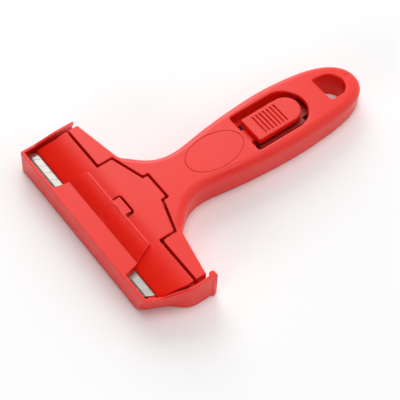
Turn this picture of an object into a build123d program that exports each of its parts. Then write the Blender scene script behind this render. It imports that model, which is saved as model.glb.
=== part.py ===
from build123d import *
import math
import os

os.makedirs("parts", exist_ok=True)

# Clearances, and one overrun that serves all cuts
running_gap = 0.3
snug_gap = 0.1
pin_gap = 0.03
turning_gap = 0.05
past_the_end = 100.0

# Blade: its edge lies in front, its back stands against a step of the body
blade_edge_length = 100.0
blade_width = 18.0
blade_thickness = 0.5
blade_edge_thickness = 0.06
blade_bevel_width = 1.8
blade_slant_deg = 30.0
blade_stop_y = -5.2
blade_left_margin = 6.8
blade_hole_radius = 1.6
blade_hole_from_end = 5.2
blade_hole_from_back = 4.8
blade_peg_gap = 0.2
half_blade = blade_edge_length / 2
blade_front_y = blade_stop_y - blade_width
bevel_rear_y = blade_front_y + blade_bevel_width
blade_left_x = -half_blade - blade_left_margin
blade_right_x = blade_left_x + blade_edge_length
blade_end_shift = (blade_width - blade_bevel_width) * math.tan(math.radians(blade_slant_deg))
hole_x = blade_right_x + blade_end_shift - blade_hole_from_end
hole_y = blade_stop_y - blade_hole_from_back

# Magazine: the spare blades lie in it lengthwise, under the handle
magazine_front_y = 2.2
magazine_end_gap = 0.42
magazine_side_gap = 0.45
magazine_corner_radius = 0.6
spare_length = blade_edge_length + blade_end_shift
magazine_rear_y = magazine_front_y + spare_length + magazine_end_gap + magazine_end_gap
magazine_x = blade_width / 2 + magazine_side_gap

# Body: heights, most of them measured down from the flat top
body_height = 17.3
bed_depth = 7.2
bed_nose_thickness = 0.9
recess_depth = 5.6
widest_depth = 3.3
bed_height = body_height - bed_depth
blade_top = bed_height + blade_thickness
recess_floor_height = body_height - recess_depth
widest_height = body_height - widest_depth

# Body: the bed in front, and the flat top that falls away towards the rear
bed_setback = 2.2
wedge_rear_y = -3.0
top_fall_length = 27.6
top_fall_radius = 309.0
side_draft_share = 0.1
bed_front_y = blade_front_y + bed_setback
top_flat_end_y = magazine_rear_y - top_fall_length

# Handle: its wall beside the magazine at the widest place, and its outline as
# shares of the length and of that wall
handle_wall = 8.75
handle_tail = 27.3
flare_start_y = 9.4
handle_start_y = 8.1
handle_start_share = 2.863
handle_shares = [
    (0, 2.52),
    (0.0177, 1.891),
    (0.0453, 1.446),
    (0.0813, 0.931),
    (0.1312, 0.52),
    (0.185, 0.394),
    (0.2655, 0.52),
    (0.34, 0.691),
    (0.4421, 0.863),
    (0.538, 0.966),
    (0.6339, 1.0),
    (0.749, 0.92),
    (0.8373, 0.783),
    (0.891, 0.6),
    (0.9409, 0.291),
    (0.9816, -0.28),
]
handle_edge_radius = 3.8
handle_foot_radius = 0.8
handle_rear_y = magazine_rear_y + handle_tail
handle_start_x = magazine_x + handle_wall * handle_start_share

# Head: a block wider than the blade. The right end slants in towards the foot and
# the front, the left end bulges a little. Places are shares of the depth from the front.
head_margin = 2.6
head_rear_y = 5.5
head_end_slant = 11.3
head_right_low_shares = [(0, 1), (0.136, 0.814), (0.279, 0.655), (0.464, 0.301), (0.6, 0.088), (1, 0.035)]
head_right_high_shares = [(0, 0.442), (0.136, 0.283), (0.279, 0.142), (0.464, 0.027), (0.6, 0), (1, 0)]
head_left_bulge = 3.1
head_left_shares = [(1, 0), (0.453, 0), (0.279, 0.516), (0.136, 0.903), (0, 1)]
head_rear_inner_x = 20.0
head_rear_inner_y = 11.5
head_edge_radius = 1.2
head_x = half_blade + head_margin
head_depth = head_rear_y - bed_front_y

# Recess for the clamp plate
cheek_x = 26.8
cheek_rear_y = 8.0
tab_recess_x = 8.8
tab_recess_front_y = 13.6
tab_recess_rear_y = 16.6
plate_groove = 1.45
recess_corner_radius = 0.8

# Clamp plate: a bent sheet, flat behind the bend line and thin in front on the blade
plate_thickness = 1.8
plate_front_thickness = 0.89
plate_bend_start_y = 1.1
plate_setback = 5.6
plate_land_length = 3.0
plate_land_slope_length = 0.6
plate_right_cut = 1.8
plate_right_rear_y = -5.0
plate_left_shares = [(0.511, 0), (0.852, 0.613), (1, 0.871)]
plate_corner_radius = 0.5
notch_x = 6.4
notch_rear_y = -1.3
notch_corner_radius = 2.0
plate_rib_shares = [-0.72, -0.32, 0.32, 0.72]
plate_rib_thickness = 1.2
plate_rib_setback = 6.6
plate_rib_rear_y = -2.5
catch_front_y = 8.6
catch_rear_y = 11.0
catch_x = 3.6
plate_front_y = blade_front_y + plate_setback
plate_rear_y = tab_recess_rear_y - plate_groove
plate_bend_run = plate_bend_start_y - plate_front_y
plate_bend_drop = body_height - blade_top - plate_front_thickness
plate_bend_radius = (plate_bend_run**2 + plate_bend_drop**2) / (plate_bend_drop + plate_bend_drop)

# Pivot pins of the clamp plate
pivot_y = 4.0
pivot_depth = 3.8
pivot_pin_radius = 1.0
pivot_lug_radius = 1.5
pivot_lug_width = 3.5
pivot_pin_seat = 3.0
pivot_height = body_height - pivot_depth

# Guard: the wall round the blade. The right end slants like the head's, and its
# places are shares of the depth from the front to the rear end of that wall.
guard_wall = 1.4
guard_blade_gap = 0.4
guard_front_thickness = 1.25
guard_front_lean = 0.85
guard_right_margin = 6.7
guard_end_slant = 16.2
guard_right_low_shares = [
    (0, 1),
    (0.112, 0.784),
    (0.2385, 0.648),
    (0.3534, 0.525),
    (0.4856, 0.278),
    (0.592, 0.117),
    (0.681, 0.074),
    (1, 0.056),
]
guard_right_high_shares = [
    (0, 0.519),
    (0.1016, 0.42),
    (0.2342, 0.278),
    (0.352, 0.21),
    (0.4875, 0.111),
    (0.5758, 0.049),
    (0.6878, 0.025),
    (1, 0),
]
guard_corner_radius = 1.6
guard_floor_low = 0.3
guard_floor_thickness = 1.4
guard_floor_gap = 0.5
guard_right_rear_y = 9.1
guard_left_rear_y = 4.5
guard_lean_depth = 5.3
guard_lean = 2.3
guard_lip_depth = 3.1
guard_rise_shares = (0.25, 0.586)
guard_bead_radius = 1.6
guard_bead_inset = 1.95
guard_left_x = blade_left_x - running_gap - guard_wall
guard_right_x = half_blade + guard_right_margin
guard_inner_front_y = blade_front_y - guard_blade_gap
guard_front_high_y = guard_inner_front_y - guard_front_thickness
guard_front_low_y = guard_front_high_y - guard_front_lean
guard_floor_high = guard_floor_low + guard_floor_thickness
guard_lip_height = body_height - guard_lip_depth

# Guard: the flap over the clamp plate, with a tab that reaches into the plate's notch
flap_front_x = 29.8
flap_fold_x = 28.0
flap_ridge_x = 25.2
flap_strip_length = 7.9
flap_middle_share = 0.394
flap_middle_rise_share = 0.6125
flap_ridge_rise = 0.9
flap_ridge_strip = 1.1
flap_ridge_step = 0.14
flap_thickness = 1.1
flap_end_wall = 1.2
flap_draft_deg = 6.0
guard_tab_side_gap = 1.5
guard_tab_end_gap = 1.2
guard_tab_length = 3.8
guard_tab_rise = 0.3
guard_tab_thickness = 1.2
thumb_dimple_radius = 4.3
thumb_dimple_depth = 0.2
thumb_dimple_from_ridge = 4.7
guard_tab_rear_y = notch_rear_y - guard_tab_end_gap
flap_ridge_y = guard_tab_rear_y - guard_tab_length
flap_ridge_height = body_height + flap_ridge_rise
flap_fold_y = guard_inner_front_y + flap_strip_length

# Thumb window in the top of the handle
window_rear_wall = 7.5
window_length = 37.1
window_side = 2.95
window_corner_radius = 1.5
window_edge_radius = 0.7
window_rear_y = magazine_rear_y - window_rear_wall
window_front_y = window_rear_y - window_length
window_x = magazine_x + window_side

# Thumb slide in the window
cap_front_gap = 3.6
cap_rear_gap = 3.7
cap_x = 7.75
cap_corner_radius = 1.0
cap_edge_radius = 0.6
cap_groove_count = 7
cap_groove_front = 5.6
cap_groove_rear = 11.1
cap_groove_length = 12.0
cap_groove_width = 1.0
cap_groove_depth = 0.7
cap_front_y = window_front_y + cap_front_gap
cap_rear_y = window_rear_y - cap_rear_gap

# Draw bar and the channel it runs in
bar_thickness = 2.0
bar_x = 4.25
bar_front_y = 8.5
bar_rear_step = 1.2
bar_nose_length = 1.6
bar_nose_drop = 1.0
bar_slot_x = 2.3
bar_slot_front = 5.4
bar_slot_rear = 7.7
spring_pocket_depth = 1.7
bar_low = recess_floor_height + running_gap + snug_gap
bar_high = bar_low + bar_thickness
bar_rear_y = cap_rear_y - bar_rear_step
bar_slot_front_y = cap_front_y + bar_slot_front
bar_slot_rear_y = cap_rear_y - bar_slot_rear

# Retainer strip below the bar: three pairs of ears, a shelf in the window, a post for the spring
retainer_thickness = 1.5
retainer_x = 5.7
retainer_ear_inset = 0.35
retainer_front_y = 18.2
retainer_rear_gap = 0.8
retainer_ear_length = 6.0
retainer_ear_front = 3.8
retainer_ear_middle = 7.8
retainer_ear_rear = 3.2
retainer_shelf_front = 4.2
retainer_shelf_rear = 4.9
retainer_post_front = 2.9
retainer_post_length = 2.0
retainer_post_x = 2.0
retainer_post_rise = 1.2
retainer_screw_inset = 1.7
retainer_high = bar_low - running_gap
retainer_low = retainer_high - retainer_thickness
retainer_rear_y = magazine_rear_y - retainer_rear_gap
retainer_ear_x = magazine_x - retainer_ear_inset
retainer_screw_x = retainer_ear_x - retainer_screw_inset
retainer_ear_places = [
    retainer_front_y + retainer_ear_front,
    window_front_y - retainer_ear_middle,
    retainer_rear_y - retainer_ear_rear,
]
retainer_post_front_y = bar_slot_rear_y - retainer_post_front

# Countersunk screws
screw_radius = 0.9
screw_head_radius = 1.5
screw_head_length = 0.8
retainer_screw_length = 4.3
slide_screw_length = 4.0
slide_screw_front = 2.6
slide_screw_rear = 4.2
screw_cross_length = 1.7
screw_cross_width = 0.35
screw_cross_depth = 0.4
slide_screw_places = [cap_front_y + slide_screw_front, cap_rear_y - slide_screw_rear]
screw_points = [(side * retainer_screw_x, y) for y in retainer_ear_places for side in (-1, 1)]

# Latch spring
spring_radius = 1.5
spring_wire_radius = 0.2
spring_coils = 7
spring_drop = 0.35
spring_height = bar_high - spring_drop

# Spare blades, and the lid below them with its hinge at the rear
spare_blade_count = 5
spare_blade_pitch = 0.6
spare_blade_room = 0.9
lid_low = 0.3
lid_thickness = 1.4
lid_rib_inset = 1.55
lid_rib_thickness = 1.2
lid_rib_front = 2.8
lid_rib_rear = 10.2
lid_nail_groove_front = 6.8
lid_nail_groove_radius = 1.2
lid_nail_groove_x = 5.0
lid_nail_groove_depth = 0.6
hinge_setback = 2.2
hinge_barrel_share = 0.295
hinge_pin_share = 0.555
hinge_pin_seat = 3.05
spare_blade_low = retainer_low - spare_blade_count * spare_blade_pitch - spare_blade_room
lid_x = magazine_x - running_gap
lid_rib_x = lid_x - lid_rib_inset
lid_rib_height = spare_blade_low - running_gap
hinge_y = magazine_rear_y - hinge_setback
hinge_barrel_radius = (spare_blade_low - lid_low) * hinge_barrel_share
hinge_pin_radius = hinge_barrel_radius * hinge_pin_share
hinge_height = lid_low + hinge_barrel_radius
hinge_pin_x = magazine_x + hinge_pin_seat

# Hanging hole and dimple behind the magazine, oval line in front of the window
hanging_wall = 4.2
hanging_length = 14.3
hanging_x = 8.05
hanging_foot_inset = 1.5
hanging_corner_radius = 1.2
hanging_edge_radius = 0.7
dimple_from_hole = 3.6
dimple_radius = 2.1
dimple_depth = 0.38
oval_place_share = 0.648
oval_length_share = 0.32
oval_x = 10.3
oval_line_width = 0.5
oval_line_depth = 0.25
hanging_front_y = magazine_rear_y + hanging_wall
hanging_rear_y = hanging_front_y + hanging_length
dimple_y = hanging_rear_y + dimple_from_hole
oval_room = window_front_y - tab_recess_rear_y
oval_y = tab_recess_rear_y + oval_room * oval_place_share
oval_half_length = oval_room * oval_length_share


def face_of(points):
    return make_face(Polyline(*points, close=True))


def prism(points, low, high):
    return extrude(Pos(0, 0, low) * face_of(points), amount=high - low)


def block(x_low, x_high, y_low, y_high, z_low, z_high):
    return prism([(x_low, y_low), (x_high, y_low), (x_high, y_high), (x_low, y_high)], z_low, z_high)


def across(profile, x_low, x_high):
    return extrude(Plane.YZ.offset(x_low) * profile, amount=x_high - x_low)


def right_across(profile):
    return across(profile, -past_the_end, past_the_end)


def along(points, y_low, y_high):
    placed = [Vector(x, y_low, z) for x, z in points]
    return extrude(make_face(Polyline(*placed, close=True)), amount=y_high - y_low, dir=(0, 1, 0))


def mirrored(points):
    return [(-x, y) for x, y in reversed(points)]


def offset_line(points, distance):
    moved = []
    for index, (x, y) in enumerate(points):
        before = points[max(index - 1, 0)]
        after = points[min(index + 1, len(points) - 1)]
        run, rise = after[0] - before[0], after[1] - before[1]
        span = math.hypot(run, rise)
        moved.append((x - distance * rise / span, y + distance * run / span))
    return moved


def d_outline(front, rear, half_width, corner):
    centre = rear - half_width
    lines = Polyline((-half_width, centre), (-half_width, front), (half_width, front), (half_width, centre))
    arc = ThreePointArc((half_width, centre), (0, rear), (-half_width, centre))
    face = make_face(lines.edges() + arc.edges())
    corners = [v for v in face.vertices() if v.Y < front + corner]
    return fillet(corners, corner)


def cone_head(radius, shank_radius):
    return Cone(radius, shank_radius, screw_head_length, align=(Align.CENTER, Align.CENTER, Align.MIN))


def countersunk_screw(x, y, low, length):
    screw = extrude(Circle(screw_radius), amount=length) + cone_head(screw_head_radius, screw_radius)
    half_length, half_width = screw_cross_length / 2, screw_cross_width / 2
    screw -= block(-half_length, half_length, -half_width, half_width, 0, screw_cross_depth)
    screw -= block(-half_width, half_width, -half_length, half_length, 0, screw_cross_depth)
    return Pos(x, y, low) * screw


def screw_seat(x, y, low, length):
    radius = screw_radius + turning_gap
    seat = extrude(Circle(radius), amount=length + turning_gap)
    return Pos(x, y, low) * (seat + cone_head(screw_head_radius + turning_gap, radius))


def save(shape, name):
    shape.label = name
    export_step(shape, "parts/" + name + ".step")


# Side profile of the flat top and its fall towards the rear
fall_centre_height = body_height - top_fall_radius
fall_run = handle_rear_y + handle_edge_radius - top_flat_end_y
fall_end_y = top_flat_end_y + fall_run


def top_height(y):
    run = max(y - top_flat_end_y, 0)
    return fall_centre_height + math.sqrt(top_fall_radius**2 - run**2)


fall_middle_y = top_flat_end_y + fall_run / 2
top_lines = Polyline(
    (top_flat_end_y, body_height),
    (bed_front_y, body_height),
    (bed_front_y, 0),
    (fall_end_y, 0),
    (fall_end_y, top_height(fall_end_y)),
)
top_arc = ThreePointArc(
    (fall_end_y, top_height(fall_end_y)),
    (fall_middle_y, top_height(fall_middle_y)),
    (top_flat_end_y, body_height),
)
top_profile = make_face(top_lines.edges() + top_arc.edges())


# Handle: two like outlines, narrower at the foot, joined by straight draft
def handle_outline(height):
    grow = (height - widest_height) * side_draft_share
    length = handle_rear_y - flare_start_y
    right = [(handle_start_x, handle_start_y)]
    for place, side in handle_shares:
        right.append((magazine_x + handle_wall * side + grow, flare_start_y + length * place))
    side_line = Spline(*right, (0, handle_rear_y + grow), *mirrored(right))
    front = Polyline(
        (-handle_start_x, handle_start_y),
        (-handle_start_x, wedge_rear_y),
        (handle_start_x, wedge_rear_y),
        (handle_start_x, handle_start_y),
    )
    return Pos(0, 0, height) * make_face(side_line.edges() + front.edges())


handle = loft([handle_outline(0), handle_outline(body_height)], ruled=True)
handle = handle & right_across(top_profile)
curved_edges = [e for e in handle.edges() if e.geom_type != GeomType.LINE]
handle = fillet([e for e in curved_edges if e.center().Z > recess_floor_height], handle_edge_radius)
foot_edges = handle.edges().group_by(Axis.Z)[0]
handle = fillet([e for e in foot_edges if e.geom_type != GeomType.LINE], handle_foot_radius)


# Head: the same rear line low and high, ends that change with the height
def head_outline(right_shares):
    rear = [(head_rear_inner_x, head_rear_inner_y), (-head_rear_inner_x, head_rear_inner_y)]
    right = [(head_x - head_end_slant * cut, bed_front_y + head_depth * place) for place, cut in right_shares]
    left = [(-head_x - head_left_bulge * out, bed_front_y + head_depth * place) for place, out in head_left_shares]
    return face_of(right + rear + left)


head = loft(
    [head_outline(head_right_low_shares), Pos(0, 0, body_height) * head_outline(head_right_high_shares)],
    ruled=True,
)
head_edges = [
    e
    for e in head.edges().group_by(Axis.Z)[-1]
    if e.center().Y > head_rear_y and abs(e.center().X) > head_rear_inner_x
]
head = fillet(head_edges, head_edge_radius)
body = handle + head

# Blade bed, wedge below it and the open space under the clamp plate
front_points = [
    (bed_front_y, bed_height),
    (bed_front_y, bed_height - bed_nose_thickness),
    (wedge_rear_y, 0),
    (handle_rear_y + past_the_end, 0),
    (handle_rear_y + past_the_end, body_height + past_the_end),
    (0, body_height + past_the_end),
    (0, recess_floor_height),
    (blade_stop_y, recess_floor_height),
    (blade_stop_y, bed_height),
]
body = body & right_across(face_of(front_points))

# Recess for the rear tab of the clamp plate, between the two cheeks
recess = [
    (-cheek_x, blade_stop_y),
    (-cheek_x, cheek_rear_y),
    (-tab_recess_x, tab_recess_front_y),
    (-tab_recess_x, tab_recess_rear_y),
]
recess_face = face_of(recess + mirrored(recess))
recess_face = fillet([v for v in recess_face.vertices() if v.Y > 0], recess_corner_radius)
body -= extrude(Pos(0, 0, recess_floor_height) * recess_face, amount=past_the_end)
cheek_corners = [
    e
    for e in body.edges().filter_by(Axis.Z)
    if abs(e.center().Y) < snug_gap and abs(abs(e.center().X) - cheek_x) < snug_gap
]
body = fillet(cheek_corners, recess_corner_radius)

# Magazine, channel of the draw bar and seat of the retainer strip, all open from below
magazine = block(
    -magazine_x, magazine_x, magazine_front_y, magazine_rear_y, -past_the_end, retainer_low
)
magazine = fillet(magazine.edges().filter_by(Axis.Z), magazine_corner_radius)
body -= magazine
channel_x = bar_x + running_gap
body -= block(
    -channel_x, channel_x, plate_rear_y, retainer_rear_y, retainer_high, bar_high + running_gap
)


def retainer_outline(gap):
    strip_x, ear_x, half_ear = retainer_x + gap, retainer_ear_x + gap, retainer_ear_length / 2 + gap
    front, rear = retainer_front_y - gap, retainer_rear_y + gap
    strip = block(-strip_x, strip_x, front, rear, retainer_low, retainer_high)
    for place in retainer_ear_places:
        strip += block(-ear_x, ear_x, place - half_ear, place + half_ear, retainer_low, retainer_high)
    shelf_front, shelf_rear = window_front_y + retainer_shelf_front, window_rear_y - retainer_shelf_rear
    strip += block(-ear_x, ear_x, shelf_front - gap, shelf_rear + gap, retainer_low, retainer_high)
    return strip


body -= retainer_outline(snug_gap)
for x, y in screw_points:
    body -= screw_seat(x, y, retainer_low, retainer_screw_length)

# Thumb window through the roof of the magazine
window = Pos(0, 0, retainer_low) * d_outline(window_front_y, window_rear_y, window_x, window_corner_radius)
body -= extrude(window, amount=past_the_end)


# Hanging hole through the rear end, narrower at the foot
def hanging_outline(height):
    inset = hanging_foot_inset * (1 - height / body_height)
    outline = d_outline(
        hanging_front_y + inset, hanging_rear_y - inset, hanging_x - inset, hanging_corner_radius
    )
    return Pos(0, 0, height) * outline


body -= loft([hanging_outline(-snug_gap), hanging_outline(body_height)], ruled=True)


# Rounded rims of the window and the hole
def rim_edges(solid, front, rear, half_width):
    found = []
    for e in solid.edges():
        middle = e.center()
        on_top = abs(middle.Z - top_height(middle.Y)) < running_gap
        inside = front - snug_gap < middle.Y < rear + snug_gap and abs(middle.X) < half_width + snug_gap
        if on_top and inside:
            found.append(e)
    return found


body = fillet(rim_edges(body, window_front_y, window_rear_y, window_x), window_edge_radius)
body = fillet(rim_edges(body, hanging_front_y, hanging_rear_y, hanging_x), hanging_edge_radius)

# Oval line and dimple on the top
oval = Ellipse(oval_x, oval_half_length) - Ellipse(oval_x - oval_line_width, oval_half_length - oval_line_width)
body -= Pos(0, oval_y, body_height - oval_line_depth) * extrude(oval, amount=past_the_end)
dimple_floor = top_height(dimple_y) - dimple_depth
body -= Pos(0, dimple_y, dimple_floor) * extrude(Circle(dimple_radius), amount=past_the_end)

# Blind holes for the pivot pins and the lid's hinge pin, and the peg in the blade's hole
cheek_tab_x = cheek_x - plate_groove
pivot_axis = Pos(pivot_y, pivot_height)
for side in (-1, 1):
    ends = sorted((side * cheek_tab_x, side * (cheek_x + pivot_pin_seat + pin_gap)))
    body -= across(pivot_axis * Circle(pivot_pin_radius + pin_gap), *ends)
hinge_axis = Pos(hinge_y, hinge_height)
hinge_reach = hinge_pin_x + pin_gap
body -= across(hinge_axis * Circle(hinge_pin_radius + pin_gap), -hinge_reach, hinge_reach)
peg = extrude(Circle(blade_hole_radius - blade_peg_gap), amount=blade_thickness + blade_peg_gap)
body += Pos(hole_x, hole_y, bed_height) * peg
save(body, "main_body")

# Blade: ground edge in front, ends square across the bevel and slanted behind it
blade_plan = [
    (blade_left_x, blade_front_y),
    (blade_right_x, blade_front_y),
    (blade_right_x, bevel_rear_y),
    (blade_right_x + blade_end_shift, blade_stop_y),
    (blade_left_x + blade_end_shift, blade_stop_y),
    (blade_left_x, bevel_rear_y),
]
blade_section = [
    (blade_front_y, bed_height),
    (blade_front_y, bed_height + blade_edge_thickness),
    (bevel_rear_y, blade_top),
    (blade_stop_y, blade_top),
    (blade_stop_y, bed_height),
]
blade = prism(blade_plan, bed_height, blade_top) & right_across(face_of(blade_section))
blade -= Pos(hole_x, hole_y, 0) * extrude(Circle(blade_hole_radius), amount=body_height)
save(blade, "scraper_blade")

# Spare blades, lengthwise in the magazine
spare_shift_x = (blade_front_y + blade_stop_y) / 2
spare_shift_y = magazine_front_y + magazine_end_gap - blade_left_x
for index in range(spare_blade_count):
    rise = spare_blade_low + index * spare_blade_pitch - bed_height
    spare = Pos(spare_shift_x, spare_shift_y, rise) * Rot(0, 0, 90) * blade
    save(spare, "spare_blade_" + str(index + 1))

# Clamp plate: side view of the sheet, with its land on the blade
bend_centre_height = body_height - plate_bend_radius
land_rear_y = plate_front_y + plate_land_length
land_slope_y = land_rear_y + plate_land_slope_length


def bend_height(y, radius):
    run = min(y - plate_bend_start_y, 0)
    return bend_centre_height + math.sqrt(radius**2 - run**2)


def bend_points(radius, front):
    middle = (front + plate_bend_start_y) / 2
    return [
        (front, bend_height(front, radius)),
        (middle, bend_height(middle, radius)),
        (plate_bend_start_y, bend_height(plate_bend_start_y, radius)),
    ]


top_line = bend_points(plate_bend_radius, plate_front_y)
low_line = bend_points(plate_bend_radius - plate_thickness, land_slope_y)
sheet_low = body_height - plate_thickness
sheet_rear = Polyline(top_line[-1], (plate_rear_y, body_height), (plate_rear_y, sheet_low), low_line[-1])
sheet_front = Polyline(top_line[0], (plate_front_y, blade_top), (land_rear_y, blade_top), low_line[0])
sheet_bends = ThreePointArc(*top_line).edges() + ThreePointArc(*low_line).edges()
sheet_section = make_face(sheet_bends + sheet_rear.edges() + sheet_front.edges())

# Clamp plate: plan, one groove inside the recess
slope_run, slope_rise = cheek_x - tab_recess_x, tab_recess_front_y - cheek_rear_y
slope_groove = plate_groove * math.hypot(slope_run, slope_rise) / slope_run
tab_side_x = tab_recess_x - plate_groove


def slope_y(x):
    return cheek_rear_y + (cheek_x - x) * slope_rise / slope_run - slope_groove


plate_side = [
    (cheek_tab_x, -plate_groove),
    (cheek_tab_x, slope_y(cheek_tab_x)),
    (tab_side_x, slope_y(tab_side_x)),
    (tab_side_x, plate_rear_y),
]
plate_right_x = head_x - snug_gap
plate_right = [
    (half_blade - plate_right_cut, plate_front_y),
    (plate_right_x, plate_right_rear_y),
    (plate_right_x, -plate_groove),
]
plate_left = [(-head_x, -plate_groove)]
plate_left += [(-head_x - head_left_bulge * out, plate_front_y * place) for place, out in plate_left_shares]
plate_face = face_of(plate_right + plate_side + mirrored(plate_side) + plate_left)
plate_corners = [v for v in plate_face.vertices() if v.Y > -plate_groove - snug_gap]
plate_face = fillet(plate_corners, plate_corner_radius)
plate = extrude(plate_face, amount=body_height) & right_across(sheet_section)
notch = block(-notch_x, notch_x, plate_front_y - past_the_end, notch_rear_y, 0, past_the_end)
notch = fillet([e for e in notch.edges().filter_by(Axis.Z) if e.center().Y > plate_front_y], notch_corner_radius)
plate -= notch

# Clamp plate: lugs for the pivot pins, ribs and the catch that the draw bar slides under
lug_face = pivot_axis * Circle(pivot_lug_radius) + face_of(
    [
        (pivot_y - pivot_lug_radius, pivot_height),
        (pivot_y + pivot_lug_radius, pivot_height),
        (pivot_y + pivot_lug_radius, sheet_low + snug_gap),
        (pivot_y - pivot_lug_radius, sheet_low + snug_gap),
    ]
)
for side in (-1, 1):
    ends = sorted((side * (cheek_tab_x - pivot_lug_width), side * cheek_tab_x))
    plate += across(lug_face, *ends)
    plate -= across(pivot_axis * Circle(pivot_pin_radius + pin_gap), *ends)
rib_low = recess_floor_height + running_gap
rib_front_y = plate_front_y + plate_rib_setback
rib_face = face_of(
    [
        (rib_front_y, rib_low),
        (plate_rib_rear_y, rib_low),
        (plate_rib_rear_y, body_height),
        (rib_front_y, body_height),
    ]
)
rib_face = rib_face & Pos(plate_bend_start_y, bend_centre_height) * Circle(plate_bend_radius - plate_thickness / 2)
for share in plate_rib_shares:
    rib_x = half_blade * share
    plate += across(rib_face, rib_x - plate_rib_thickness / 2, rib_x + plate_rib_thickness / 2)
plate += block(
    -catch_x, catch_x, catch_front_y, catch_rear_y, bar_high + running_gap, sheet_low + snug_gap
)
save(plate, "blade_clamp_plate")

# Pivot pins of the clamp plate
pivot_pins = Part()
for side in (-1, 1):
    ends = sorted((side * (cheek_tab_x - pivot_lug_width), side * (cheek_x + pivot_pin_seat)))
    pivot_pins += across(pivot_axis * Circle(pivot_pin_radius), *ends)
save(pivot_pins, "plate_pivot_pins")

# Thumb slide: cap flush with the top, with cross grooves, hollow below for the spring
cap = d_outline(cap_front_y, cap_rear_y, cap_x, cap_corner_radius)
cap = extrude(Pos(0, 0, bar_high) * cap, amount=body_height - bar_high)
cap = fillet(cap.edges().group_by(Axis.Z)[-1], cap_edge_radius)
groove_first_y = cap_front_y + cap_groove_front
groove_pitch = (cap_rear_y - cap_groove_rear - groove_first_y) / (cap_groove_count - 1)
groove = extrude(SlotOverall(cap_groove_length, cap_groove_width), amount=past_the_end)
for index in range(cap_groove_count):
    cap -= Pos(0, groove_first_y + index * groove_pitch, body_height - cap_groove_depth) * groove
pocket_high = bar_high + spring_pocket_depth
cap -= block(-bar_slot_x, bar_slot_x, bar_slot_front_y, bar_slot_rear_y, 0, pocket_high)
for place in slide_screw_places:
    cap -= screw_seat(0, place, bar_low, slide_screw_length)
save(cap, "thumb_slide")

# Draw bar: flat bar with a chamfered nose and a slot for the spring
bar_section = face_of(
    [
        (bar_front_y, bar_low),
        (bar_rear_y, bar_low),
        (bar_rear_y, bar_high),
        (bar_front_y + bar_nose_length, bar_high),
        (bar_front_y, bar_high - bar_nose_drop),
    ]
)
bar = across(bar_section, -bar_x, bar_x)
bar -= block(-bar_slot_x, bar_slot_x, bar_slot_front_y, bar_slot_rear_y, 0, body_height)
for place in slide_screw_places:
    bar -= screw_seat(0, place, bar_low, slide_screw_length)
save(bar, "draw_bar")

# Screws: two for the slide, six for the retainer strip
slide_screws = Part()
for place in slide_screw_places:
    slide_screws += countersunk_screw(0, place, bar_low, slide_screw_length)
save(slide_screws, "slide_screws")
retainer_screws = Part()
for x, y in screw_points:
    retainer_screws += countersunk_screw(x, y, retainer_low, retainer_screw_length)
save(retainer_screws, "retainer_screws")

# Retainer strip with the post for the spring
retainer = retainer_outline(0)
post_rear_y = retainer_post_front_y + retainer_post_length
post_high = bar_high + retainer_post_rise
retainer += block(
    -retainer_post_x, retainer_post_x, retainer_post_front_y, post_rear_y, retainer_low, post_high
)
for x, y in screw_points:
    retainer -= screw_seat(x, y, retainer_low, retainer_screw_length)
save(retainer, "draw_bar_retainer")

# Latch spring between the front of the slot and the post
spring_start = bar_slot_front_y + spring_wire_radius + turning_gap
spring_end = retainer_post_front_y - spring_wire_radius - turning_gap
spring_length = spring_end - spring_start
path = Helix(spring_length / spring_coils, spring_length, spring_radius)
wire_plane = Plane(origin=path @ 0, z_dir=path % 0)
spring = sweep(wire_plane * Circle(spring_wire_radius), path=path, is_frenet=True)
save(Pos(0, spring_start, spring_height) * Rot(-90, 0, 0) * spring, "latch_spring")

# Magazine lid with two ribs, a nail groove and the hinge barrel, and its pin
lid_front_y = magazine_front_y + running_gap
lid = block(-lid_x, lid_x, lid_front_y, hinge_y, lid_low, lid_low + lid_thickness)
rib_front = magazine_front_y + lid_rib_front
rib_rear = hinge_y - lid_rib_rear
for side in (-1, 1):
    rib_side = side * lid_rib_x
    rib_ends = (rib_side - lid_rib_thickness / 2, rib_side + lid_rib_thickness / 2)
    lid += block(*rib_ends, rib_front, rib_rear, lid_low, lid_rib_height)
lid += across(hinge_axis * Circle(hinge_barrel_radius), -lid_x, lid_x)
lid -= across(hinge_axis * Circle(hinge_pin_radius + turning_gap), -lid_x, lid_x)
nail_y = magazine_front_y + lid_nail_groove_front
nail_height = lid_low + lid_nail_groove_depth - lid_nail_groove_radius
nail_circle = Pos(nail_y, nail_height) * Circle(lid_nail_groove_radius)
lid -= across(nail_circle, -lid_nail_groove_x, lid_nail_groove_x)
save(lid, "magazine_lid")
save(across(hinge_axis * Circle(hinge_pin_radius), -hinge_pin_x, hinge_pin_x), "lid_hinge_pin")


# Guard: shell between an outer and an inner form, whose right ends change with the height
def guard_line(front_y, shares):
    depth = guard_right_rear_y - front_y
    return [(guard_right_x - guard_end_slant * cut, front_y + depth * place) for place, cut in shares]


def guard_level(line, left_x, corner_radius):
    rear_y = guard_right_rear_y + past_the_end
    front_y = line[0][1]
    rest = Polyline(line[-1], (line[-1][0], rear_y), (left_x, rear_y), (left_x, front_y), line[0])
    face = make_face(Spline(*line).edges() + rest.edges())
    corner = [v for v in face.vertices() if v.X < left_x + snug_gap and v.Y < front_y + snug_gap]
    return fillet(corner, corner_radius)


def guard_form(low_line, high_line, inset):
    left_x = guard_left_x + inset
    corner_radius = guard_corner_radius - inset
    low = guard_level(low_line, left_x, corner_radius)
    high = guard_level(high_line, left_x, corner_radius)
    form = loft([low, Pos(0, 0, body_height) * high], ruled=True)
    lean_points = [
        (left_x, -past_the_end),
        (left_x, body_height - guard_lean_depth),
        (left_x + guard_lean, body_height),
        (left_x + guard_lean, past_the_end),
        (past_the_end, past_the_end),
        (past_the_end, -past_the_end),
    ]
    return form & along(lean_points, -past_the_end, past_the_end + past_the_end)


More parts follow.
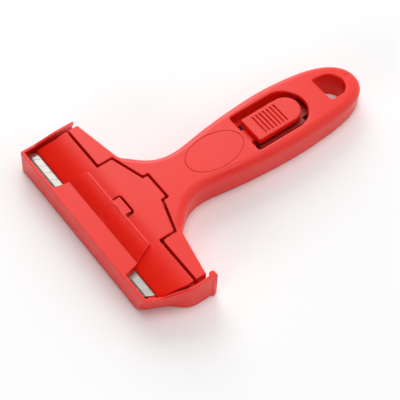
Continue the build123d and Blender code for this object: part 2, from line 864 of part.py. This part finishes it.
def inner_line(line):
    inner = offset_line(line, guard_wall)
    inner[0] = (inner[0][0], guard_inner_front_y)
    return inner


low_line = guard_line(guard_front_low_y, guard_right_low_shares)
high_line = guard_line(guard_front_high_y, guard_right_high_shares)
guard_outer = guard_form(low_line, high_line, 0)
guard_inner = guard_form(inner_line(low_line), inner_line(high_line), guard_wall)

# Guard: floor below the wedge of the body, arms that rise towards the rear, bead at the end
wedge_run = (wedge_rear_y - bed_front_y) * guard_floor_high / (bed_height - bed_nose_thickness)
floor_rear_y = wedge_rear_y - wedge_run - guard_floor_gap
keep_floor = block(
    -past_the_end, past_the_end, -past_the_end, floor_rear_y, -past_the_end, guard_floor_high
)
guard = guard_outer - (guard_inner - keep_floor)
arm_depth = guard_right_rear_y - guard_front_low_y
rise_front_y, rise_rear_y = [guard_front_low_y + arm_depth * share for share in guard_rise_shares]
arm_profile = face_of(
    [
        (guard_front_low_y, guard_floor_low),
        (guard_right_rear_y, guard_floor_low),
        (guard_right_rear_y, body_height),
        (rise_rear_y, body_height),
        (rise_front_y, guard_lip_height),
        (guard_front_low_y, guard_lip_height),
    ]
)
guard = guard & right_across(arm_profile)
guard -= block(-past_the_end, guard_left_x / 2, guard_left_rear_y, past_the_end, -past_the_end, past_the_end)
bead = extrude(Circle(guard_bead_radius), amount=body_height - guard_floor_low)
guard += Pos(guard_right_x - guard_bead_inset, guard_right_rear_y - guard_bead_radius, guard_floor_low) * bead

# Flap of the guard: front strip, ramp and ridge, with end walls down to the plate
flap_front_y = guard_inner_front_y - snug_gap
ramp_rear = (flap_ridge_y - flap_ridge_strip, flap_ridge_height - flap_ridge_step)
ramp_middle = (
    flap_fold_y + (flap_ridge_y - flap_fold_y) * flap_middle_share,
    guard_lip_height + (flap_ridge_height - guard_lip_height) * flap_middle_rise_share,
)


def flap_section(drop):
    ramp = [(y, z - drop) for y, z in ((flap_fold_y, guard_lip_height), ramp_middle, ramp_rear)]
    rest = Polyline(
        ramp[-1],
        (ramp[-1][0], flap_ridge_height - drop),
        (flap_ridge_y, flap_ridge_height - drop),
        (flap_ridge_y, 0),
        (flap_front_y, 0),
        (flap_front_y, guard_lip_height - drop),
        ramp[0],
    )
    return make_face(ThreePointArc(*ramp).edges() + rest.edges())


def flap_plan(inset, height):
    spread = (flap_ridge_height - height) * math.tan(math.radians(flap_draft_deg)) - inset
    half = [
        (flap_front_x + spread, flap_front_y),
        (flap_fold_x + spread, flap_fold_y),
        (flap_ridge_x + spread, flap_ridge_y + inset),
    ]
    return Pos(0, 0, height) * face_of(half + mirrored(half))


def flap_block(inset):
    return loft([flap_plan(inset, bed_height), flap_plan(inset, flap_ridge_height)], ruled=True)


flap = flap_block(0) & right_across(flap_section(0))
flap -= flap_block(flap_end_wall) & right_across(flap_section(flap_thickness))
thumb_disc = extrude(Circle(thumb_dimple_radius), amount=past_the_end)
thumb_disc = Pos(0, flap_ridge_y - thumb_dimple_from_ridge, blade_top) * thumb_disc
flap -= thumb_disc - right_across(flap_section(thumb_dimple_depth))

# Clearance of the flap over the clamp plate and the blade
clear_front_y = plate_front_y - running_gap
clear_line = bend_points(plate_bend_radius + running_gap, clear_front_y)
clear_blade = blade_top + running_gap
clear_rest = Polyline(
    clear_line[-1],
    (plate_bend_start_y, 0),
    (guard_inner_front_y, 0),
    (guard_inner_front_y, clear_blade),
    (clear_front_y, clear_blade),
    clear_line[0],
)
flap -= right_across(make_face(ThreePointArc(*clear_line).edges() + clear_rest.edges()))
guard += flap
guard_tab_x = notch_x - guard_tab_side_gap
tab_high = body_height + guard_tab_rise
guard += block(
    -guard_tab_x,
    guard_tab_x,
    flap_ridge_y - flap_thickness,
    guard_tab_rear_y,
    tab_high - guard_tab_thickness,
    tab_high,
)
save(guard, "blade_guard")
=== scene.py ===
import math

import bpy
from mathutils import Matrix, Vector


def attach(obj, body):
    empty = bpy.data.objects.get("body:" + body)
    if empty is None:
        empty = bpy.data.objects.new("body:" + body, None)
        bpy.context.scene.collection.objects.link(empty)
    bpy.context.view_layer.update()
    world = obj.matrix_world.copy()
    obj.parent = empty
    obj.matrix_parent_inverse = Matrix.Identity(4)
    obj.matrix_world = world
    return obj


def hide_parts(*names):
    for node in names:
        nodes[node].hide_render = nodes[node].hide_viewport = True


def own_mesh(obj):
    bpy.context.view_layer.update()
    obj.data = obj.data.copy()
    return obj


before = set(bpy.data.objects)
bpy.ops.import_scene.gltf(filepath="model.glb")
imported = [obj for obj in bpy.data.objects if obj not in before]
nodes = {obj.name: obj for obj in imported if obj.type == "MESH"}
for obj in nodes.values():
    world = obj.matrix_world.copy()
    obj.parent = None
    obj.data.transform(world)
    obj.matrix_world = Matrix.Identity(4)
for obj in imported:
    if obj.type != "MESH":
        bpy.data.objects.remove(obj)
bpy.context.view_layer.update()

# Main body: head, neck and handle in one piece.
# Injection moulded ABS, dyed through in a strong red. The spark-finished mould leaves a fine satin grain.
# Everything else is mounted on it, so the finish of the other red pieces starts from this one.
MM = 0.001
BODY_RED = "#ee1b00"
BODY_RED_DEEP = "#e61600"
BODY_ROUGHNESS = 0.36
ABS_IOR = 1.5
GRAIN_MM = 0.35
GRAIN_HEIGHT_MM = 0.006
GRAIN_OCTAVES = 3.0
GRAIN_BREAKUP = 0.6
FLOW_MM = 28.0
FLOW_OCTAVES = 2.0
FLOW_BREAKUP = 0.5
SMOOTHER_BY = 0.04
ROUGHER_BY = 0.05
ARRIS_RADIUS_MM = 0.4
ARRIS_SAMPLES = 6
DYE_SCATTER = 0.25
DYE_SCATTER_MM = 1.6
DYE_SCATTER_REACH = (1.0, 0.12, 0.06)  # red goes furthest into the dyed plastic


def linear(code):
    channels = [int(code[i:i + 2], 16) / 255 for i in (1, 3, 5)]
    return tuple(c / 12.92 if c <= 0.04045 else ((c + 0.055) / 1.055) ** 2.4 for c in channels) + (1.0,)


def add_node(tree, kind, settings=(), **links):
    """A shader node: links are sockets or values, by input name, or by number as i0, i1."""
    node = tree.nodes.new("ShaderNode" + kind)
    for name, value in dict(settings).items():
        setattr(node, name, value)
    for name, value in links.items():
        socket = node.inputs[int(name[1:])] if name[1:].isdigit() else node.inputs[name.replace("_", " ")]
        if isinstance(value, bpy.types.NodeSocket):
            tree.links.new(value, socket)
        else:
            socket.default_value = value
    return node


def new_material(name):
    material = bpy.data.materials.new(name)
    material.use_nodes = True
    tree = material.node_tree
    tree.nodes.clear()
    output = add_node(tree, "OutputMaterial")
    shader = add_node(tree, "BsdfPrincipled")
    tree.links.new(shader.outputs["BSDF"], output.inputs["Surface"])
    return material, tree, shader


def two_tones(tree, factor, low, high):
    tone = add_node(tree, "Mix", {"data_type": "RGBA"}, Factor=factor)
    tone.inputs[6].default_value = linear(low)
    tone.inputs[7].default_value = linear(high)
    return tone.outputs[2]


def red_plastic(name, colour, deep, roughness):
    """Moulded plastic: fine grain in the gloss, slow drift in the dye, softened arrises."""
    material, tree, shader = new_material(name)
    place = add_node(tree, "TexCoord").outputs["Object"]
    grain = add_node(
        tree, "TexNoise", i0=place, Scale=1 / (GRAIN_MM * MM), Detail=GRAIN_OCTAVES, Roughness=GRAIN_BREAKUP
    ).outputs["Fac"]
    flow = add_node(
        tree, "TexNoise", i0=place, Scale=1 / (FLOW_MM * MM), Detail=FLOW_OCTAVES, Roughness=FLOW_BREAKUP
    ).outputs["Fac"]
    gloss = add_node(
        tree, "MapRange", Value=grain, To_Min=roughness - SMOOTHER_BY, To_Max=roughness + ROUGHER_BY
    )
    arris = add_node(tree, "Bevel", {"samples": ARRIS_SAMPLES}, Radius=ARRIS_RADIUS_MM * MM)
    relief = add_node(
        tree, "Bump", Strength=1.0, Distance=GRAIN_HEIGHT_MM * MM,
        Height=grain, Normal=arris.outputs["Normal"],
    )
    tree.links.new(two_tones(tree, flow, deep, colour), shader.inputs["Base Color"])
    tree.links.new(gloss.outputs["Result"], shader.inputs["Roughness"])
    tree.links.new(relief.outputs["Normal"], shader.inputs["Normal"])
    shader.inputs["IOR"].default_value = ABS_IOR
    shader.inputs["Subsurface Weight"].default_value = DYE_SCATTER
    shader.inputs["Subsurface Radius"].default_value = DYE_SCATTER_REACH
    shader.inputs["Subsurface Scale"].default_value = DYE_SCATTER_MM * MM
    return material


def dress(name, material):
    piece = nodes[name]
    piece.data.materials.clear()
    piece.data.materials.append(material)


body_abs = red_plastic("moulded_red_abs", BODY_RED, BODY_RED_DEEP, BODY_ROUGHNESS)
dress("main_body", body_abs)

# Scraper blade: an 18 mm strip of hardened carbon steel, ground bright and scored across for snapping.
# It lies flat on the bed of the head and shows at both ends of the clamp plate.
# The grinding lines run along the strip, and the score lines cross it at a slant.
BLADE_STEEL = "#aca7a1"
SCORED_STEEL = "#6f6b67"
BLADE_ROUGHNESS = 0.28
GRIND_LINE_MM = 0.12
GRIND_STRETCH = 0.04
GRIND_OCTAVES = 4.0
GRIND_RELIEF = 0.04
SCORE_PITCH_MM = 5.0
SCORE_WIDTH_MM = 0.22
SCORE_DEPTH_MM = 0.03
SCORE_SLANT_DEG = 30.0
STEEL_SMOOTHER_BY = 0.06
STEEL_ROUGHER_BY = 0.08


def ground_steel(name, lengthwise):
    """Ground and scored strip; lengthwise is for strips that lie along Y, the others lie along X."""
    material, tree, shader = new_material(name)
    place = add_node(tree, "TexCoord").outputs["Object"]
    apart = add_node(tree, "SeparateXYZ", i0=place).outputs
    along, over = (apart["Y"], apart["X"]) if lengthwise else (apart["X"], apart["Y"])
    slope = math.tan(math.radians(SCORE_SLANT_DEG)) * (1 if lengthwise else -1)
    shear = add_node(tree, "Math", {"operation": "MULTIPLY_ADD"}, i0=over, i1=slope, i2=along)
    step = add_node(tree, "Math", {"operation": "PINGPONG"}, i0=shear.outputs[0], i1=SCORE_PITCH_MM * MM / 2)
    score = add_node(
        tree, "MapRange", {"interpolation_type": "SMOOTHSTEP"}, Value=step.outputs[0],
        From_Min=0.0, From_Max=SCORE_WIDTH_MM * MM, To_Min=0.0, To_Max=1.0,
    ).outputs[0]
    squeeze = add_node(tree, "Mapping", i0=place)
    stretch = (1.0, GRIND_STRETCH, 1.0) if lengthwise else (GRIND_STRETCH, 1.0, 1.0)
    squeeze.inputs["Scale"].default_value = stretch
    grind = add_node(
        tree, "TexNoise", i0=squeeze.outputs[0], Scale=1 / (GRIND_LINE_MM * MM), Detail=GRIND_OCTAVES
    ).outputs["Fac"]
    gloss = add_node(
        tree, "MapRange", Value=grind,
        To_Min=BLADE_ROUGHNESS - STEEL_SMOOTHER_BY, To_Max=BLADE_ROUGHNESS + STEEL_ROUGHER_BY,
    )
    height = add_node(tree, "Math", {"operation": "MULTIPLY_ADD"}, i0=grind, i1=GRIND_RELIEF, i2=score)
    relief = add_node(tree, "Bump", Strength=1.0, Distance=SCORE_DEPTH_MM * MM, Height=height.outputs[0])
    tree.links.new(two_tones(tree, score, SCORED_STEEL, BLADE_STEEL), shader.inputs["Base Color"])
    tree.links.new(gloss.outputs[0], shader.inputs["Roughness"])
    tree.links.new(relief.outputs["Normal"], shader.inputs["Normal"])
    shader.inputs["Metallic"].default_value = 1.0
    return material


dress("scraper_blade", ground_steel("ground_blade_steel", False))

# Clamp plate: a bent plate of the same red ABS, polished a little more where fingers press it.
# It sits flush in the head, rocks on two pins in the cheeks and holds the blade down along its front edge.
PLATE_RED = "#ee1c00"
PLATE_RED_DEEP = "#e61700"
PLATE_ROUGHNESS = 0.34
dress("blade_clamp_plate", red_plastic("polished_red_abs", PLATE_RED, PLATE_RED_DEEP, PLATE_ROUGHNESS))

# Pivot pins of the clamp plate: short lengths of drawn steel wire, zinc plated.
# They are pressed into blind holes in the cheeks of the head.
PLATED_STEEL = "#c9c8c4"
ZINC_ROUGHNESS = 0.3
DRAWING_LINE_MM = 0.2
DRAWING_HEIGHT_MM = 0.004
DRAWING_OCTAVES = 3.0


def drawn_steel(name, roughness):
    material, tree, shader = new_material(name)
    place = add_node(tree, "TexCoord").outputs["Object"]
    lines = add_node(
        tree, "TexNoise", i0=place, Scale=1 / (DRAWING_LINE_MM * MM), Detail=DRAWING_OCTAVES
    ).outputs["Fac"]
    gloss = add_node(
        tree, "MapRange", Value=lines,
        To_Min=roughness - STEEL_SMOOTHER_BY, To_Max=roughness + STEEL_ROUGHER_BY,
    )
    relief = add_node(tree, "Bump", Strength=1.0, Distance=DRAWING_HEIGHT_MM * MM, Height=lines)
    tree.links.new(gloss.outputs[0], shader.inputs["Roughness"])
    tree.links.new(relief.outputs["Normal"], shader.inputs["Normal"])
    shader.inputs["Base Color"].default_value = linear(PLATED_STEEL)
    shader.inputs["Metallic"].default_value = 1.0
    return material


zinc_steel = drawn_steel("zinc_plated_steel", ZINC_ROUGHNESS)
dress("plate_pivot_pins", zinc_steel)

# Thumb slide: a D shaped cap of red ABS with seven grooves across it, in the window of the handle.
# The thumb keeps it a little smoother than the body.
SLIDE_RED = "#ee1b00"
SLIDE_ROUGHNESS = 0.33
slide_abs = red_plastic("thumb_worn_red_abs", SLIDE_RED, BODY_RED_DEEP, SLIDE_ROUGHNESS)
dress("thumb_slide", slide_abs)

# Draw bar: a flat bar of the same plastic below the cap, which reaches forward under the clamp plate.
# Two countersunk steel screws tie the cap to it from below.
dress("draw_bar", slide_abs)
dress("slide_screws", zinc_steel)

# Retainer strip: closes the channel of the draw bar from below, and shows in the window beside the cap.
# Its darker red is painted shade, standing for the shade deep in the window, and it is held by six
# countersunk steel screws.
RETAINER_SHADE_RED = "#a01208"
RETAINER_ROUGHNESS = 0.42
# Painted shade: the strip's red is darkened to stand for the shade that falls in the window.
dress("draw_bar_retainer", red_plastic("shade_darkened_abs", RETAINER_SHADE_RED, RETAINER_SHADE_RED, RETAINER_ROUGHNESS))
dress("retainer_screws", zinc_steel)

# Latch spring: a coil of bright spring steel wire between the draw bar and its rear seat.
# The real coil shortens by the travel of the thumb slide; here its mesh is copied into a coil fixed to the
# base, and the imported spring is hidden.
SPRING_ROUGHNESS = 0.22
spring_steel = drawn_steel("spring_steel_wire", SPRING_ROUGHNESS)
dress("latch_spring", spring_steel)
coil = bpy.data.objects.new("spring_coil", nodes["latch_spring"].data.copy())
bpy.context.scene.collection.objects.link(coil)
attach(coil, "base")
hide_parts("latch_spring")
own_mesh(coil)

# Spare blades: five strips like the fitted one, stacked lengthwise in the magazine of the handle.
# They are of the same ground and scored steel.
SPARE_BLADES = 5
spare_steel = ground_steel("ground_spare_steel", True)
for number in range(1, SPARE_BLADES + 1):
    dress("spare_blade_%d" % number, spare_steel)

# Magazine lid: a thin ribbed cover of the body's red ABS on the underside of the handle.
# It swings down on a zinc plated steel pin behind the blades.
dress("magazine_lid", body_abs)
dress("lid_hinge_pin", zinc_steel)

# Blade guard: a thin wrap that slides over the cutting edge and the head from the front.
# Moulded in red polypropylene, with the same satin grain as the body.
GUARD_RED = "#ee1a00"
GUARD_RED_DEEP = "#e61500"
GUARD_ROUGHNESS = 0.36
dress("blade_guard", red_plastic("moulded_red_polypropylene", GUARD_RED, GUARD_RED_DEEP, GUARD_ROUGHNESS))

# Floor: matt white paper with a faint fibre, just clear of the object's flat underside.
FLOOR_WHITE = "#fafafa"
FLOOR_ROUGHNESS = 0.9
FLOOR_SPECULAR = 0.1
FLOOR_REACH = 3.0
FLOOR_HEIGHT = -0.2 * MM
FIBRE_MM = 0.6
FIBRE_HEIGHT_MM = 0.01
FIBRE_OCTAVES = 3.0
floor_mesh = bpy.data.meshes.new("floor")
floor_corners = [
    (x * FLOOR_REACH, y * FLOOR_REACH, FLOOR_HEIGHT) for x, y in ((-1, -1), (1, -1), (1, 1), (-1, 1))
]
floor_mesh.from_pydata(floor_corners, [], [(0, 1, 2, 3)])
floor = bpy.data.objects.new("floor", floor_mesh)
bpy.context.scene.collection.objects.link(floor)
paper, tree, shader = new_material("matt_white_paper")
shader.inputs["Base Color"].default_value = linear(FLOOR_WHITE)
shader.inputs["Roughness"].default_value = FLOOR_ROUGHNESS
shader.inputs["Specular IOR Level"].default_value = FLOOR_SPECULAR
fibre_place = add_node(tree, "TexCoord").outputs["Object"]
fibre = add_node(tree, "TexNoise", i0=fibre_place, Scale=1 / (FIBRE_MM * MM), Detail=FIBRE_OCTAVES)
relief = add_node(tree, "Bump", Strength=1.0, Distance=FIBRE_HEIGHT_MM * MM, Height=fibre.outputs["Fac"])
tree.links.new(relief.outputs["Normal"], shader.inputs["Normal"])
floor.data.materials.append(paper)

# Lamps: a large soft box low on the left for the form and its soft shadow, a smaller one overhead,
# and a low wide one in front that opens up the front walls. Each has its place, size and power.
TARGET = Vector((0.01883, 0.02704, 0.0173))
SOFT_BOXES = {
    "left": ((-1.3, 0.5, 0.9), (1.2, 1.2), 13.0),
    "top": ((0.1, 0.0, 1.6), (0.6, 0.6), 7.0),
    "front": ((0.4, -1.4, 0.45), (0.9, 0.3), 6.0),
}
for name, (place, size, power) in SOFT_BOXES.items():
    light = bpy.data.lights.new(name, "AREA")
    light.shape = "RECTANGLE"
    light.size, light.size_y = size
    light.energy = power
    lamp = bpy.data.objects.new(name, light)
    lamp.location = place
    lamp.rotation_euler = (TARGET - Vector(place)).to_track_quat("-Z", "Y").to_euler()
    bpy.context.scene.collection.objects.link(lamp)

# Surround: a bright half behind the object and a dim half in front of it.
# Flat tops take a pale sheen from the bright half, and slopes and fronts stay deep red.
BRIGHT_HALF = 1.05
DIM_HALF = 0.08
DIM_UP_TO = -0.05
BRIGHT_FROM = 0.3
world = bpy.data.worlds.new("studio")
bpy.context.scene.world = world
world.use_nodes = True
sky = world.node_tree
background = sky.nodes["Background"]
heading = add_node(sky, "SeparateXYZ", i0=add_node(sky, "TexCoord").outputs["Generated"])
glow = add_node(
    sky, "MapRange", {"interpolation_type": "SMOOTHSTEP"}, Value=heading.outputs["Y"],
    From_Min=DIM_UP_TO, From_Max=BRIGHT_FROM, To_Min=DIM_HALF, To_Max=BRIGHT_HALF,
)
background.inputs["Color"].default_value = (1.0, 1.0, 1.0, 1.0)
sky.links.new(glow.outputs[0], background.inputs["Strength"])

# Camera: a long lens from the front right, well above the object.
CAMERA_PLACE = (0.2934, -0.1762, 0.5113)
LENS_MM = 114.92
SENSOR_MM = 36.0
NEAREST = 0.01
camera_data = bpy.data.cameras.new("camera")
camera_data.lens = LENS_MM
camera_data.sensor_width = SENSOR_MM
camera_data.clip_start = NEAREST
camera = bpy.data.objects.new("camera", camera_data)
camera.location = CAMERA_PLACE
camera.rotation_euler = (TARGET - camera.location).to_track_quat("-Z", "Y").to_euler()
bpy.context.scene.collection.objects.link(camera)
bpy.context.scene.camera = camera
bpy.context.scene.view_settings.view_transform = "Standard"
